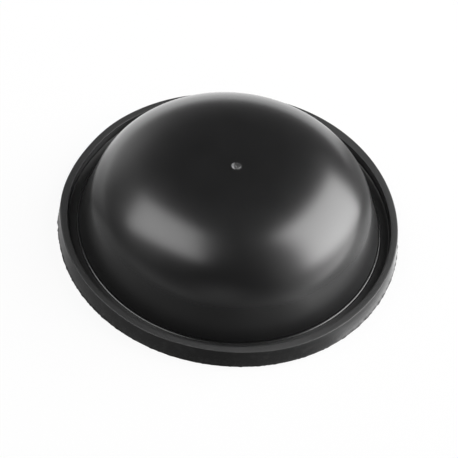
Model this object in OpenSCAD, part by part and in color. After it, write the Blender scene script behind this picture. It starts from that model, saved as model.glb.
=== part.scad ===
// Moulded rubber diaphragm seal: a hollow dome in a flat sealing flange, with a groove around the dome
// and an upstanding rim at the flange's edge.
// It stands on its flat sealing face, with the dome's axis along +Z and the origin in the middle
// of that face. The part is one revolved section, drawn with straight lines and true arcs.

/* [Rim] */
// Diameter of the rim's outer wall
rim_d = 100; // [98:0.5:140]
// Height of the rim above the sealing face
rim_h = 6; // [4.5:0.1:12]
// Thickness of the rim's wall
rim_t = 2.15; // [1.2:0.05:3]
// Radius on the rim's two top edges
rim_edge_r = 0.3; // [0.1:0.05:0.55]
// How far the trimmed flash stands out at the foot of the rim
flash_w = 0.2; // [0.1:0.05:0.6]
// Thickness of the trimmed flash
flash_t = 0.4; // [0.2:0.05:0.8]

/* [Groove] */
// Thickness of the flange under the groove
web_t = 3.05; // [1.5:0.05:4]
// Radius in the corner between the groove's floor and the rim
groove_corner_r = 0.5; // [0.2:0.05:1.2]
// Radius in the corner between the groove's floor and the dome's side
foot_r = 0.6; // [0.1:0.05:1.5]

/* [Dome] */
// Height of the crown above the sealing face, without the gate nub
dome_h = 29.7; // [27:0.1:40]
// Outside radius of the broad crown
crown_r = 169.75; // [100:0.25:400]
// Outside radius of the haunch, between the crown and the shoulder
haunch_r = 32; // [28:0.25:45]
// Distance from the axis to the centre of the haunch's arc
haunch_x = 16.15; // [13.5:0.05:20]
// Outside radius of the rounded shoulder
shoulder_r = 17.5; // [12:0.1:20]
// Distance from the axis to the centre of the shoulder's arc
shoulder_x = 24.85; // [22:0.05:26]
// How far the dome's outer side leans in over a height of 24 mm
side_lean = 7; // [4:0.5:10]
// Thickness of the dome's wall over the crown and the shoulder
wall_t = 2.2; // [1.2:0.1:4]
// Radius on the edge of the mouth, where the hollow meets the sealing face
mouth_edge_r = 1; // [0.2:0.1:2]

/* [Gate nub] */
// Diameter of the nub that the gate leaves on the crown
nub_d = 3; // [1:0.1:6]
// Height of the nub above the crown
nub_h = 0.4; // [0.2:0.05:1]

/* [Hidden] */
$fa = 2;
$fs = 0.2;

// Radii of the rim's two walls and of the mouth, whose side is upright
rim_r = rim_d / 2;
groove_r = rim_r - rim_t;
mouth_r = shoulder_x + shoulder_r - wall_t;

// Centres of the crown's, the haunch's and the shoulder's arcs. Each is placed so that its arc runs
// on from the one before without a kink.
crown_z = dome_h - crown_r;
haunch_z = crown_z + sqrt(pow(crown_r - haunch_r, 2) - pow(haunch_x, 2));
shoulder_z = haunch_z + sqrt(pow(haunch_r - shoulder_r, 2) - pow(shoulder_x - haunch_x, 2));

// The dome's outer side is a cone that leaves the shoulder's arc without a kink. Its slope is given
// over side_rise, and side_out and side_up are the parts of a unit length that stands square to it.
side_rise = 24;
side_run = sqrt(pow(side_lean, 2) + pow(side_rise, 2));
side_out = side_rise / side_run;
side_up = side_lean / side_run;
side_top_x = shoulder_x + shoulder_r * side_out;
side_top_z = shoulder_z + shoulder_r * side_up;

// How far a cutting shape runs past the face that it opens
overrun = 1;

// Radius of the dome's outer side at a height above the sealing face
function side_x(z) = side_top_x + (side_top_z - z) * side_lean / side_rise;

// Quarter of a disc, in the corner between the section's two positive axes
module quarter_disc(r) {
    intersection() {
        circle(r);
        square(2 * r);
    }
}

// Block with its far top edge rounded
module rounded_block(w, h, r) {
    square([w, h - r]);
    square([w - r, h]);
    translate([w - r, h - r])
        quarter_disc(r);
}

// Concave fillet in the corner between the section's two positive axes
module fillet(r) {
    difference() {
        square(r);
        translate([r, r])
            circle(r);
    }
}

// Slice of the disc about [x, z], between two distances from the axis and above the height from_z
module disc_slice(x, z, r, from_x, to_x, from_z) {
    intersection() {
        translate([x, z])
            circle(r);
        translate([from_x, from_z])
            square([to_x - from_x, 2 * dome_h]);
    }
}

// Crown, haunch and shoulder above the height from_z, with their outline set in from the dome's outside
module crown_area(inset, from_z) {
    haunch_from = (crown_r - inset) * haunch_x / (crown_r - haunch_r);
    shoulder_from = haunch_x + (haunch_r - inset) * (shoulder_x - haunch_x) / (haunch_r - shoulder_r);
    disc_slice(0, crown_z, crown_r - inset, 0, haunch_from, from_z);
    disc_slice(haunch_x, haunch_z, haunch_r - inset, haunch_from, shoulder_from, from_z);
    disc_slice(shoulder_x, shoulder_z, shoulder_r - inset, shoulder_from, rim_r, from_z);
}

// Solid dome, with its sloping side carried down into the flange
module dome_area() {
    polygon([[0, 0], [side_x(0), 0], [side_top_x, side_top_z], [0, side_top_z]]);
    crown_area(0, side_top_z);
}

// Concave corner between the groove's floor and the dome's sloping side
module foot_area() {
    centre_z = web_t + foot_r;
    centre_x = side_x(centre_z) + foot_r / side_out;
    difference() {
        square([centre_x, centre_z - foot_r * side_up]);
        translate([centre_x, centre_z])
            circle(foot_r);
    }
}

// Upstanding rim with its trimmed flash, and the fillet at the foot of its inner wall
module rim_area() {
    half_t = rim_t / 2;
    translate([rim_r - half_t, 0]) {
        rounded_block(half_t, rim_h, rim_edge_r);
        mirror([1, 0])
            rounded_block(half_t, rim_h, rim_edge_r);
    }
    translate([groove_r, 0])
        square([rim_t + flash_w, flash_t]);
    translate([groove_r, web_t])
        mirror([1, 0])
            fillet(groove_corner_r);
}

// Low button that the gate leaves on the crown, with its root inside the wall
module nub_area() {
    nub_r = nub_d / 2;
    button_r = (pow(nub_r, 2) + pow(nub_h, 2)) / (2 * nub_h);
    intersection() {
        translate([0, dome_h + nub_h - button_r])
            circle(button_r);
        translate([0, dome_h - wall_t / 2])
            square([2 * button_r, wall_t]);
    }
}

// Hollow under the dome: its side is upright, and the edge of its mouth is rounded
module hollow_area() {
    square([mouth_r, shoulder_z]);
    crown_area(wall_t, shoulder_z);
    difference() {
        translate([0, -overrun])
            square([mouth_r + mouth_edge_r, overrun + mouth_edge_r]);
        translate([mouth_r + mouth_edge_r, mouth_edge_r])
            circle(mouth_edge_r);
    }
}

// The whole moulding, revolved from its section
module diaphragm() {
    color([0.13, 0.13, 0.13])
        rotate_extrude()
            difference() {
                union() {
                    rim_area();
                    square([groove_r, web_t]);
                    foot_area();
                    dome_area();
                    nub_area();
                }
                hollow_area();
            }
}

diaphragm();
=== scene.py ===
# Moulded rubber diaphragm seal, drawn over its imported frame: one section spun about the dome's axis,
# then the small faults of the real moulding, its satin rubber, and a white table under two softboxes.
import math

import bmesh
import bpy
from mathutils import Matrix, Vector


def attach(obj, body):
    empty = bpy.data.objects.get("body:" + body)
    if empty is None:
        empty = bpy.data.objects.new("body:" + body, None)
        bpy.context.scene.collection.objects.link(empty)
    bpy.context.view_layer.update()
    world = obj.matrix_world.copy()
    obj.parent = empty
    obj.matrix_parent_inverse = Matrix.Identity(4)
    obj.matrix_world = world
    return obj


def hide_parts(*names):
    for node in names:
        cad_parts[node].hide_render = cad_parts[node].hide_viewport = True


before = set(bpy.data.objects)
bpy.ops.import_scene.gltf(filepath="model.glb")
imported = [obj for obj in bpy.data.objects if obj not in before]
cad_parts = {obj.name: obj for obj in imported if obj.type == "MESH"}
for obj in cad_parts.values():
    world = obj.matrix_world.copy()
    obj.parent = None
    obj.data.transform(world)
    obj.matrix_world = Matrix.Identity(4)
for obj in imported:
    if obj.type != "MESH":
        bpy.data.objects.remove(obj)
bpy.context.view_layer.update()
mm = 0.001
print("frame loaded with", ", ".join(sorted(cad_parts)))

# sizes in mm: x is the distance from the dome's axis, z the height above the sealing face
section = {
    "rimOuter": 50.0, "rimInner": 47.85, "rimTop": 6.0, "rimEdge": 0.3,
    "rimFoot": 50.45,                                   # the rim's wall stands out a little at its foot
    "flashReach": 0.15, "flashTop": 0.4, "flashEdge": 0.1,
    "grooveFloor": 3.05, "grooveCorner": 0.5, "footCorner": 0.6,
    "sideTilt": 73.74,                                  # of the skin from level; it leans in 7 over 24
    "shoulderX": 25.2, "shoulderZ": 8.35, "shoulderRadius": 17.15,
    "crownTilt": 45.0,                                  # the shoulder's arc runs up to this tilt
    "crownTop": 29.7, "crownRadius": 405.55,            # the crown is nearly flat at its middle
    "crownBlendMiddle": 28.845, "crownBlendLength": 60.0, "crownBlendStep": 0.01,   # along the skin, from the axis
    "crownSteps": 44, "nubReach": 2.2, "nubSteps": 18,
    "wall": 2.2, "mouthSide": 40.15, "mouthEdge": 1.0,
    "innerCrown": 169.75, "innerHaunch": 32.0, "innerHaunchX": 16.15,
    "innerShoulder": 17.5, "innerShoulderX": 24.85,
    "spokes": 480, "weld": 0.002,
}


def selectWhere(test):
    # edit mode: selects the vertices whose place, in mm, passes the test
    shape = bmesh.from_edit_mesh(bpy.context.object.data)
    for vert in shape.verts:
        vert.select_set(not vert.hide and test(vert.co / mm))
    shape.select_flush_mode()
    bmesh.update_edit_mesh(bpy.context.object.data)


class Pen:
    # draws the section in edit mode, from the one vertex that is selected
    def __init__(self, x, z):
        self.x, self.z = x, z
        bpy.ops.mesh.primitive_plane_add(size=mm, location=(x * mm, 0, z * mm))
        bpy.ops.object.mode_set(mode="EDIT")
        bpy.ops.mesh.select_mode(type="VERT")
        bpy.ops.mesh.select_all(action="SELECT")
        bpy.ops.mesh.merge(type="CENTER")

    def line(self, x, z, steps=1):
        stepX, stepZ = (x - self.x) / steps, (z - self.z) / steps
        for _ in range(steps):
            bpy.ops.mesh.extrude_region_move(TRANSFORM_OT_translate={"value": (stepX * mm, 0, stepZ * mm)})
        self.x, self.z = x, z

    def arc(self, centreX, centreZ, degrees, steps):
        # a positive angle turns clockwise, seen with the axis on the left; spin itself counts the other way
        turn = math.radians(degrees)
        bpy.ops.mesh.spin(steps=steps, angle=-turn, center=(centreX * mm, 0, centreZ * mm), axis=(0, 1, 0))
        awayX, awayZ = self.x - centreX, self.z - centreZ
        self.x = centreX + awayX * math.cos(turn) + awayZ * math.sin(turn)
        self.z = centreZ - awayX * math.sin(turn) + awayZ * math.cos(turn)


def drawHollow(pen, s):
    # down the hollow, along arcs that run on from each other, and round the edge of its mouth
    crownZ = s["crownTop"] - s["innerCrown"]
    haunchZ = crownZ + math.sqrt((s["innerCrown"] - s["innerHaunch"]) ** 2 - s["innerHaunchX"] ** 2)
    haunchTilt = math.degrees(math.asin(s["innerHaunchX"] / (s["innerCrown"] - s["innerHaunch"])))
    shoulderTilt = math.degrees(math.asin(
        (s["innerShoulderX"] - s["innerHaunchX"]) / (s["innerHaunch"] - s["innerShoulder"])))
    pen.arc(0, crownZ, haunchTilt, steps=8)
    pen.arc(s["innerHaunchX"], haunchZ, shoulderTilt - haunchTilt, steps=8)
    pen.arc(s["innerShoulderX"], s["shoulderZ"], 90 - shoulderTilt, steps=10)
    pen.line(s["mouthSide"], s["mouthEdge"], steps=2)
    pen.arc(s["mouthSide"] + s["mouthEdge"], s["mouthEdge"], -90, steps=5)


def drawRim(pen, s):
    # out along the sealing face, then the flash, the rim's wall, its top and its inner wall
    flashX, edge = s["rimFoot"] + s["flashReach"], s["flashEdge"]
    pen.line(flashX - edge / 2, 0, steps=3)
    pen.line(flashX, edge)
    pen.line(flashX, s["flashTop"] - edge)
    pen.line(s["rimFoot"], s["flashTop"] + edge / 2)
    pen.line(s["rimOuter"], s["rimTop"] - s["rimEdge"], steps=6)
    pen.arc(s["rimOuter"] - s["rimEdge"], s["rimTop"] - s["rimEdge"], -90, steps=5)
    pen.line(s["rimInner"] + s["rimEdge"], s["rimTop"], steps=3)
    pen.arc(s["rimInner"] + s["rimEdge"], s["rimTop"] - s["rimEdge"], -90, steps=5)
    pen.line(s["rimInner"], s["grooveFloor"] + s["grooveCorner"], steps=3)


def drawSide(pen, s):
    # the groove's floor, the concave corner at the dome's foot, the dome's side and its shoulder
    tilt, corner = math.radians(s["sideTilt"]), s["footCorner"]
    sideX = s["shoulderX"] + s["shoulderRadius"] * math.sin(tilt)
    sideZ = s["shoulderZ"] + s["shoulderRadius"] * math.cos(tilt)
    footZ = s["grooveFloor"] + corner
    footX = sideX + (sideZ - footZ) / math.tan(tilt) + corner / math.sin(tilt)
    pen.arc(s["rimInner"] - s["grooveCorner"], s["grooveFloor"] + s["grooveCorner"], 90, steps=6)
    pen.line(footX, s["grooveFloor"], steps=4)
    pen.arc(footX, footZ, s["sideTilt"], steps=8)
    pen.line(sideX, sideZ, steps=6)
    pen.arc(s["shoulderX"], s["shoulderZ"], s["crownTilt"] - s["sideTilt"], steps=16)


def crownPoints(s):
    # the outer crown from the axis out: its curvature grows smoothly along the skin until the shoulder's arc
    flat, tight = 1 / s["crownRadius"], 1 / s["shoulderRadius"]
    start, step = s["crownBlendMiddle"] - s["crownBlendLength"] / 2, s["crownBlendStep"]
    points, x, z, tilt, along = [], 0.0, s["crownTop"], 0.0, 0.0
    while tilt < math.radians(s["crownTilt"]):
        share = min(max((along - start) / s["crownBlendLength"], 0), 1)
        bend = flat + (tight - flat) * share * share * (3 - 2 * share)
        x += step * math.cos(tilt + bend * step / 2)
        z -= step * math.sin(tilt + bend * step / 2)
        tilt += bend * step
        along += step
        points.append((x, z))
    return points


def drawCrown(pen, s):
    # in to the axis, with finer steps where the gate nub will stand
    crown = crownPoints(s)
    nub = [p for p in crown if p[0] <= s["nubReach"]]
    outside = crown[len(nub):]
    for i in range(1, s["crownSteps"] + 1):
        pen.line(*outside[round((len(outside) - 1) * (1 - i / s["crownSteps"]))])
    for i in range(1, s["nubSteps"]):
        pen.line(*nub[round((len(nub) - 1) * (1 - i / s["nubSteps"]))])
    pen.line(0, s["crownTop"])


def spinSection(s):
    bpy.ops.object.select_all(action="DESELECT")
    pen = Pen(0, s["crownTop"] - s["wall"])
    for draw in (drawHollow, drawRim, drawSide, drawCrown):
        draw(pen, s)
    bpy.ops.mesh.select_all(action="SELECT")
    bpy.ops.mesh.spin(steps=s["spokes"], angle=math.tau, center=(0, 0, 0), axis=(0, 0, 1))
    bpy.ops.mesh.select_all(action="SELECT")
    bpy.ops.mesh.remove_doubles(threshold=s["weld"] * mm)
    bpy.ops.mesh.normals_make_consistent(inside=False)
    bpy.ops.object.mode_set(mode="OBJECT")
    moulding = bpy.context.object
    moulding.name = moulding.data.name = "diaphragm_rubber"
    bpy.ops.object.transform_apply(location=True, rotation=True, scale=True)
    return moulding


seal = spinSection(section)
print("section spun:", len(seal.data.vertices), "vertices")

# what sets the real moulding apart from a perfect one; places and lengths in mm, azimuths in degrees
# from +X towards +Y
faults = {
    "flashRagged": 0.14, "flashSeed": 4,
    # azimuth, how far the rim is pushed out there, and how far round the push reaches
    "rimWallPushes": [(60, 0.5, 45), (-62, 0.35, 28), (-115, 0.25, 14), (180, 0.25, 12), (155, -0.3, 16)],
    "rimFootPushes": [(-55, 0.3, 35), (-165, -0.1, 20), (-174.5, 0.3, 1.0), (-171, 0.3, 0.9), (-168, 0.15, 0.7)],
    "rimInsidePushes": [(155, -0.4, 18)],
    "rimHalf": 48.9,                # distance from the axis that parts the rim's two walls
    "rimFootBelow": 5.0, "rimFootHeight": 0.1,
    "rimInsideFrom": 47.5, "rimInsideAbove": 3.15,
    "nub": [   # x, y, rise, reach: a low torn button, pulled up and pressed in bit by bit
        (0.1, -0.15, 0.38, 1.9), (-0.85, 0.0, 0.28, 0.8), (0.25, 0.35, -0.12, 0.45), (0.2, -0.45, -0.12, 0.45),
        (0.7, 0.1, -0.06, 0.4), (-0.2, -0.9, 0.1, 0.6),
    ],
    "nubWithin": 3.52, "nubAbove": 28.7,    # what lies outside these stays as it is
    "grip": 0.08,                   # vertices closer than this to the middle of a pull move all the way
}


def showOnly(test):
    # edit mode: what is hidden stays where it is when something beside it is pulled
    bpy.ops.mesh.reveal(select=False)
    selectWhere(lambda p: not test(p))
    bpy.ops.mesh.hide(unselected=False)


def nearestPlace(distance):
    # edit mode: the place, in mm, of the vertex on show for which the distance is least
    shape = bmesh.from_edit_mesh(bpy.context.object.data)
    return min((vert.co / mm for vert in shape.verts if not vert.hide), key=distance)


def pull(place, move, reach, grip):
    # edit mode: moves the vertices at a place and, less and less, those around it
    selectWhere(lambda p: (p - place).length < grip)
    bpy.ops.transform.translate(
        value=[m * mm for m in move], use_proportional_edit=True,
        proportional_edit_falloff="SMOOTH", proportional_size=reach * mm)


def strayRim(s, f):
    # the rim isn't quite round: its outer wall, its foot and its inner wall each stray a little
    half = f["rimHalf"]
    for pushes, height, test in (
            (f["rimWallPushes"], s["rimTop"],
             lambda p: p.xy.length > half and p.z > s["flashTop"]),
            (f["rimFootPushes"], f["rimFootHeight"],
             lambda p: p.xy.length > half and p.z < f["rimFootBelow"]),
            (f["rimInsidePushes"], s["rimTop"],
             lambda p: f["rimInsideFrom"] < p.xy.length < half and p.z > f["rimInsideAbove"])):
        showOnly(test)
        for azimuth, out, reach in pushes:
            aim = Vector((math.cos(math.radians(azimuth)), math.sin(math.radians(azimuth)), 0))
            spot = aim * s["rimOuter"] + Vector((0, 0, height))
            pull(nearestPlace(lambda p: (p - spot).length), aim * out, reach, f["grip"])


def tearNub(f):
    showOnly(lambda p: p.xy.length <= f["nubWithin"] and p.z >= f["nubAbove"])
    for x, y, rise, reach in f["nub"]:
        spot = Vector((x, y))
        pull(nearestPlace(lambda p: (p.xy - spot).length), (0, 0, rise), reach, f["grip"])


def addFaults(moulding, s, f):
    bpy.ops.object.mode_set(mode="EDIT")
    bpy.ops.mesh.select_mode(type="VERT")
    # the trimmed flash is left ragged all round, at the two rings that stand out furthest
    flashX = s["rimFoot"] + s["flashReach"]
    selectWhere(lambda p: p.xy.length > flashX - s["flashEdge"] / 4)
    bpy.ops.transform.vertex_random(offset=f["flashRagged"] * mm, uniform=0, normal=1, seed=f["flashSeed"])
    strayRim(s, f)
    tearNub(f)
    bpy.ops.mesh.reveal(select=False)
    bpy.ops.object.mode_set(mode="OBJECT")
    bpy.ops.object.shade_smooth()
    bpy.ops.object.modifier_add(type="WEIGHTED_NORMAL")
    bpy.ops.object.modifier_apply(modifier=moulding.modifiers[0].name)


addFaults(seal, section, faults)
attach(seal, "root")
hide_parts("diaphragm")
print("flash, rim and gate nub shaped")


class Wire:
    # a socket, so that masks and mixtures can be written as plain sums
    def __init__(self, recipe, socket):
        self.recipe, self.socket = recipe, socket

    def combine(self, operation, first, second):
        return self.recipe.make("ShaderNodeMath", {"operation": operation}, {0: first, 1: second})

    def __add__(self, other):
        return self.combine("ADD", self, other)

    def __sub__(self, other):
        return self.combine("SUBTRACT", self, other)

    def __rsub__(self, other):
        return self.combine("SUBTRACT", other, self)

    def __mul__(self, other):
        return self.combine("MULTIPLY", self, other)

    def __pow__(self, other):
        return self.combine("POWER", self, other)

    __radd__, __rmul__ = __add__, __mul__

    def siblings(self, *names):
        # the outputs of these names on the same node
        return [Wire(self.recipe, self.socket.node.outputs[name]) for name in names]


class Recipe:
    # a node tree; make adds any node and hands back one of its outputs
    def __init__(self, owner):
        owner.use_nodes = True
        self.tree = owner.node_tree

    def feed(self, socket, value):
        if isinstance(value, Wire):
            self.tree.links.new(value.socket, socket)
        else:
            socket.default_value = value

    def make(self, kind, settings, sockets, out=0):
        node = self.tree.nodes.new(kind)
        for name, value in settings.items():
            if name == "stops":
                self.setStops(node.color_ramp, value)
            else:
                setattr(node, name, value)
        for name, value in sockets.items():
            self.feed(node.inputs[name], value)
        return Wire(self, node.outputs[out])

    def setStops(self, ramp, stops):
        ramp.interpolation = "EASE"
        ends = ramp.elements[0], ramp.elements[1]
        for element, (place, shade) in zip(ends, (stops[0], stops[-1])):
            element.position, element.color = place, (shade, shade, shade, 1)
        for place, shade in stops[1:-1]:
            ramp.elements.new(place).color = (shade, shade, shade, 1)

    def axes(self, place):
        return self.make("ShaderNodeSeparateXYZ", {}, {0: place}).siblings("X", "Y", "Z")

    def noise(self, place, size, detail):
        # soft clouds about size mm across
        return self.make("ShaderNodeTexNoise", {}, {"Vector": place, "Scale": 1 / (size * mm), "Detail": detail})

    def rise(self, value, low, high):
        # 0 below the low value, 1 above the high one, smooth in between
        return self.make("ShaderNodeMapRange", {"interpolation_type": "SMOOTHSTEP"},
                         {"Value": value, "From Min": low, "From Max": high})

    def finish(self, kind, value):
        node = next(n for n in self.tree.nodes if n.bl_idname == kind)
        self.feed(node.inputs[0], value)


rubber = {
    # each face's black (the groove's is lifted above the dome's as painted fill light in that recess), its
    # roughness, and how much of the fine grain it shows
    "blackAndPaintedLight": {"dome": 0.0098, "groove": 0.019, "wall": 0.007, "rimTop": 0.017},
    "roughness": {"dome": 0.25, "groove": 0.32, "wall": 0.3, "rimTop": 0.5},
    "grain": {"dome": 0.15, "groove": 0.8, "wall": 4.5, "rimTop": 0.8},
    "blueness": 1.02,               # of the blue channel over the others
    "gloss": 1.0,                   # specular level of the waxy skin
    # low down, the dome's side is lifted by painted fill light in the moat beside it, and made duller
    "lowPaintedFill": 0.0092, "lowDullness": 0.13,         # the dome's side is greyer and duller low down
    "cornerShine": 0.13,            # how much less rough the corner at its foot is than the groove
    # along the torn nub's edge at -X the lighter colour is a painted highlight
    "nubGrey": 0.028, "nubPaintedHighlight": 0.26,              # the torn nub is greyer, and palest along its edge at -X
    "cloudSize": 7.0, "cloudDetail": 4.0, "cloudRoughness": 0.03, "cloudShade": 0.5,    # slow clouds in the skin
    "grainSize": 0.5, "grainDetail": 2.0, "grainHeight": 0.02,
    "wallSmoothness": 0.8,          # how much of the wall's grain is lost towards its top
    "scuffSize": 2.5, "scuffDetail": 3.0, "scuffGrey": 0.02, "scuffEnds": (0.5, 0.75),  # pale scuffs on the wall
    "speckGrey": 0.03, "speckEnds": (0.5, 0.7),
    # where each part of the skin begins or ends, as a soft step in mm: distances from the axis, and heights
    "rimFrom": (47.0, 47.2), "rimTopAbove": (5.7, 5.9),
    "wallFrom": (49.6, 49.8), "wallAbove": (0.0, 0.1), "wallSmoothAbove": (1.0, 5.5),
    "grooveFrom": (44.2, 44.8), "grooveAbove": (2.0, 2.5), "grooveBelow": (5.6, 5.8),
    "cornerFrom": (44.0, 44.4), "cornerTo": (45.1, 45.5), "cornerBelow": (3.7, 4.0),
    "paintedFillBelow": (4.0, 12.0), "dullBelow": (9.0, 17.0),
    "nubTo": (1.3, 1.6), "nubAbove": (29.7, 29.82), "nubHighlightTo": (-1.0, -0.5),
}


def blend(faces, values):
    # each face's own value where its mask is 1
    return sum(mask * values[face] for face, mask in faces.items())


def satinRubber(r):
    material = bpy.data.materials.new("satinRubber")
    recipe = Recipe(material)
    place = recipe.make("ShaderNodeTexCoord", {}, {}, out="Object")
    x, y, z = recipe.axes(place)
    radius = (x * x + y * y) ** 0.5

    def past(value, step):
        low, high = r[step]
        return recipe.rise(value, low * mm, high * mm)

    rimTop = past(radius, "rimFrom") * past(z, "rimTopAbove")
    wall = past(radius, "wallFrom") * past(z, "wallAbove") * (1 - rimTop)
    groove = (past(radius, "grooveFrom") * (1 - rimTop) * (1 - wall)
              * past(z, "grooveAbove") * (1 - past(z, "grooveBelow")))
    dome = 1 - rimTop - wall - groove
    faces = {"dome": dome, "groove": groove, "wall": wall, "rimTop": rimTop}
    corner = (past(radius, "cornerFrom") * (1 - past(radius, "cornerTo"))
              * past(z, "grooveAbove") * (1 - past(z, "cornerBelow")))
    nub = (1 - past(radius, "nubTo")) * past(z, "nubAbove")
    coarse = 1 - past(z, "wallSmoothAbove") * r["wallSmoothness"]

    clouds = recipe.noise(place, r["cloudSize"], r["cloudDetail"]) - 0.5
    scuffs = recipe.rise(recipe.noise(place, r["scuffSize"], r["scuffDetail"]), *r["scuffEnds"])
    grain = recipe.noise(place, r["grainSize"], r["grainDetail"])
    specks = recipe.rise(grain, *r["speckEnds"]) * coarse

    roughness = (blend(faces, r["roughness"]) + dome * (1 - past(z, "dullBelow")) * r["lowDullness"]
                 - corner * r["cornerShine"] + clouds * r["cloudRoughness"])
    # painted fill light: the groove and the dome's foot are lifted above the dome's black
    blackAndPaintedLight = blend(faces, r["blackAndPaintedLight"]) + dome * (1 - past(z, "paintedFillBelow")) * r["lowPaintedFill"]
    # a painted highlight along the nub's edge at -X, over the nub's own grey
    blackAndPaintedLight = (blackAndPaintedLight * (clouds * r["cloudShade"] + 1)
             + nub * ((1 - past(x, "nubHighlightTo")) * r["nubPaintedHighlight"] + r["nubGrey"])
             + wall * (scuffs * r["scuffGrey"] + specks * r["speckGrey"]))
    height = grain * blend({**faces, "wall": wall * coarse}, r["grain"])

    shader = recipe.tree.nodes["Principled BSDF"].inputs
    recipe.feed(shader["Base Color"], recipe.make(
        "ShaderNodeCombineColor", {}, {0: blackAndPaintedLight, 1: blackAndPaintedLight, 2: blackAndPaintedLight * r["blueness"]}))
    recipe.feed(shader["Roughness"], roughness)
    recipe.feed(shader["Normal"], recipe.make(
        "ShaderNodeBump", {}, {"Height": height, "Distance": r["grainHeight"] * mm, "Strength": 1.0}))
    recipe.feed(shader["Specular IOR Level"], r["gloss"])
    return material


seal.data.materials.append(satinRubber(rubber))
print("rubber made")

tableTop = {
    "size": 6.0,                                    # metres
    "inView": 0.9, "whitening": 0.92,               # what the camera sees of it
    # painted shade: the table throws back much less light on the rubber than it shows the camera
    "atWork": 0.13,                                 # what it throws back on the rubber
    "roughness": 0.9,
    # azimuth in degrees, and the painted light it mirrors in the rubber there: painted light behind and to the
    # right, painted shade where the camera stands
    "around": [
        (-180, 0.45), (-165, 0.38), (-150, 0.27), (-120, 0.19), (-90, 0.13), (-60, 0.24), (-50, 0.4),
        (-40, 0.9), (-28, 0.8), (-12, 0.75), (5, 1.1), (17, 0.9), (30, 0.35), (50, 0.35), (65, 1.4),
        (105, 1.6), (135, 1.5), (155, 0.7), (163, 0.45), (172, 0.25), (180, 0.45)],
    # a painted pool of light, seen only in the rubber, right beside the rim
    "paintedPoolNearRim": 2.5, "nearEnds": (0.05, 0.0525),     # brighter right beside the rim; metres from the axis
}


def aroundRamp(recipe, x, y, stops):
    # the brightness for the azimuth of a place or a direction
    azimuth = recipe.make("ShaderNodeMath", {"operation": "ARCTAN2"}, {0: y, 1: x})
    most = max(shade for _, shade in stops)
    return recipe.make("ShaderNodeValToRGB", {"stops": [(a / 360 + 0.5, shade / most) for a, shade in stops]},
                       {0: azimuth * (1 / math.tau) + 0.5}) * most


def addTable(t):
    bpy.ops.object.select_all(action="DESELECT")
    bpy.ops.mesh.primitive_plane_add(size=t["size"], location=(0, 0, 0))
    table = bpy.context.object
    table.name = "table"
    white = bpy.data.materials.new("whiteTable")
    recipe = Recipe(white)
    make = recipe.make
    seen, mirrored, through = make("ShaderNodeLightPath", {}, {}).siblings(
        "Is Camera Ray", "Is Glossy Ray", "Is Transmission Ray")
    cloth = recipe.tree.nodes["Principled BSDF"]
    recipe.feed(cloth.inputs["Base Color"], make("ShaderNodeMix", {"data_type": "RGBA"}, {
        0: seen, 6: (t["atWork"],) * 3 + (1,), 7: (t["inView"],) * 3 + (1,)}, out=2))
    recipe.feed(cloth.inputs["Roughness"], t["roughness"])
    recipe.feed(cloth.inputs["Specular IOR Level"], 0.0)
    place = make("ShaderNodeTexCoord", {}, {}, out="Object")
    x, y, _ = recipe.axes(place)
    distance = make("ShaderNodeVectorMath", {"operation": "LENGTH"}, {0: place}, out="Value")
    # what the rubber mirrors of the table is painted light and shade, with a painted pool of light beside the rim
    paintedGlow = aroundRamp(recipe, x, y, t["around"])
    paintedGlow = paintedGlow + paintedGlow * paintedGlow * (1 - recipe.rise(distance, *t["nearEnds"])) * t["paintedPoolNearRim"]
    light = make("ShaderNodeEmission", {}, {"Color": mirrored * paintedGlow + (1 - mirrored)})
    recipe.finish("ShaderNodeOutputMaterial", make("ShaderNodeMixShader", {}, {
        0: seen * t["whitening"] + mirrored + through, 1: Wire(recipe, cloth.outputs[0]), 2: light}))
    table.data.materials.append(white)


addTable(tableTop)

# metres, degrees and watts; a box fades out between the two shares of its width that its edge gives
softboxes = {
    "rightBox": {"place": (0.816, 0.547, 0.689), "turn": (39.58, -57.73, 121.61),
                 "size": (1.886, 2.3), "edge": (0.17, 0.28), "watts": 60.0},
    "leftBox": {"place": (-0.582, 0.096, 1.046), "turn": (-58.98, 25.53, 149.77),
                "size": (1.6, 1.72), "edge": (0.17, 0.28), "watts": 22.0},
}


def inRadians(turn):
    return [math.radians(angle) for angle in turn]


def addSoftbox(name, box):
    bpy.ops.object.light_add(type="AREA", location=box["place"], rotation=inRadians(box["turn"]))
    lamp = bpy.context.object
    lamp.name = lamp.data.name = name
    lamp.data.shape = "RECTANGLE"
    lamp.data.size, lamp.data.size_y = box["size"]
    lamp.data.energy = box["watts"]
    recipe = Recipe(lamp.data)
    across, along, _ = recipe.axes(recipe.make("ShaderNodeNewGeometry", {}, {}, out="Parametric"))
    fade = 1
    for share in (across, along):
        side = recipe.make("ShaderNodeMath", {"operation": "ABSOLUTE"}, {0: share - 0.5})
        fade = recipe.rise(0.5 - side, *box["edge"]) * fade
    recipe.finish("ShaderNodeEmission", fade)


for name, box in softboxes.items():
    addSoftbox(name, box)

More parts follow.
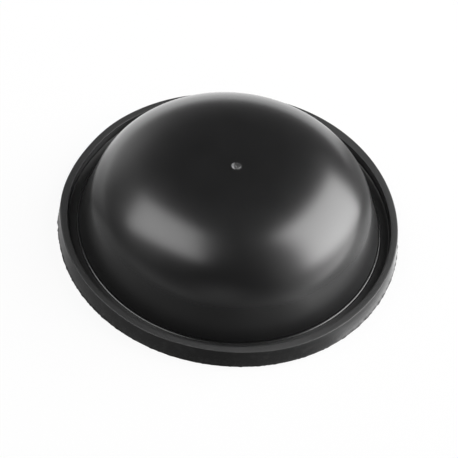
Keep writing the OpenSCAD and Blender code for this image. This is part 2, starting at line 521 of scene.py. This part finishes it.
room = {
    "least": 0.02,                  # no place on the walls and the ceiling is darker than this
    "horizonSharpness": 3,
    # azimuth in degrees, and how bright the walls are there, down at the horizon
    "around": [
        (-180, 0.2), (-165, 0.35), (-150, 0.5), (-120, 0.45), (-90, 0.2), (-60, 0.35), (-50, 0.5), (-40, 0.7),
        (-28, 0.9), (-12, 2.0), (5, 2.8), (17, 2.6), (30, 0.8), (50, 0.1), (65, 0.2), (105, 0.3), (135, 0.85),
        (155, 0.35), (163, 0.3), (172, 0.2), (180, 0.2)],
    # strength, azimuth, elevation and sharpness of the lighter places
    "glows": [(1.6, 5, 25, 8), (0.5, 180, 45, 10), (0.42, 127, 17, 24), (0.25, -90, 22, 24)],
}


def addRoom(r):
    world = bpy.data.worlds.new("studio")
    bpy.context.scene.world = world
    recipe = Recipe(world)
    make = recipe.make
    towards = make("ShaderNodeTexCoord", {}, {}, out="Generated")
    x, y, height = recipe.axes(towards)
    light = (1 - height) ** r["horizonSharpness"] * aroundRamp(recipe, x, y, r["around"]) + r["least"]
    for strength, azimuth, elevation, sharpness in r["glows"]:
        a, e = math.radians(azimuth), math.radians(elevation)
        aim = (math.cos(e) * math.cos(a), math.cos(e) * math.sin(a), math.sin(e))
        facing = make("ShaderNodeVectorMath", {"operation": "DOT_PRODUCT"}, {0: towards, 1: aim}, out="Value")
        ahead = make("ShaderNodeMath", {"operation": "MAXIMUM"}, {0: facing, 1: 0.0})
        light = ahead ** sharpness * strength + light
    seen = make("ShaderNodeLightPath", {}, {}, out="Is Camera Ray")
    dim = make("ShaderNodeBackground", {}, {"Color": light})
    white = make("ShaderNodeBackground", {}, {"Color": (1, 1, 1, 1)})
    recipe.finish("ShaderNodeOutputWorld", make("ShaderNodeMixShader", {}, {0: seen, 1: dim, 2: white}))


addRoom(room)
print("table, softboxes and room placed")

# the photograph's own camera: metres, degrees and mm
view = {
    "place": (0, -0.64891703, 0.76685918), "turn": (40.06226322, -4.62876397, 5.46858838),
    "lens": 266.07, "sensor": 36,
}


def addCamera(v):
    bpy.ops.object.camera_add(location=v["place"], rotation=inRadians(v["turn"]))
    camera = bpy.context.object
    camera.data.sensor_width = v["sensor"]
    camera.data.lens = v["lens"]
    bpy.context.scene.camera = camera


addCamera(view)
bpy.context.scene.view_settings.view_transform = "Standard"
print("camera placed")
